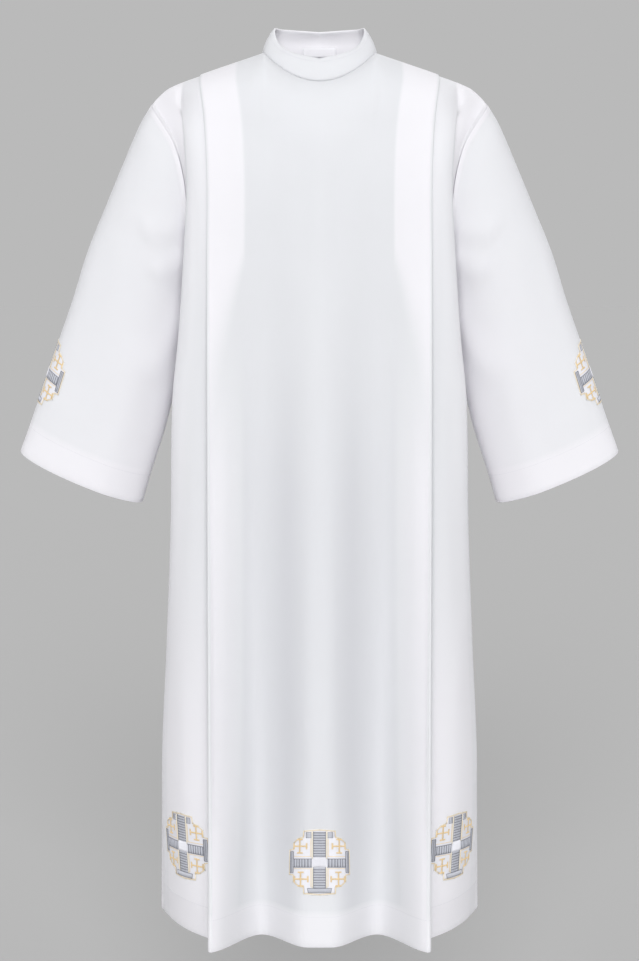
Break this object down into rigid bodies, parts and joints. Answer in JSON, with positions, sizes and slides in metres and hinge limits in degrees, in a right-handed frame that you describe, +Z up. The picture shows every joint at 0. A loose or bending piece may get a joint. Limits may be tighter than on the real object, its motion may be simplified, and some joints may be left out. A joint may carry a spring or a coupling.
{
  "type": "alb robe",
  "caption": "Full-length white liturgical robe with a stand collar, long open sleeves, pressed front and back pleats and small round cross motifs near the hem and cuffs.",
  "frame": {"origin": "middle of the neck opening, level with the points where the collar meets the shoulder seams", "axes": "+Z up from hem to collar, -Y is the front of the robe, +X is the wearer's left"},
  "size_m": [1.0028, 0.4189, 1.4859],
  "materials": {
    "cloth": "fine plain weave, white, soft sheen",
    "collar_cloth": "fine plain weave, white, two plies, stitched",
    "label_weave": "smooth woven tape, plain",
    "embroidery": "silver-grey satin stitch with fine gold outlines"
  },
  "bodies": {
    "root": {"front": "cloth", "back": "cloth", "sleeve_left": "cloth", "sleeve_right": "cloth", "collar": "collar_cloth", "label": "label_weave", "motif_centre": "embroidery", "motif_left": "embroidery", "motif_right": "embroidery", "motif_sleeve_left": "embroidery", "motif_sleeve_right": "embroidery"}
  },
  "joints": []
}
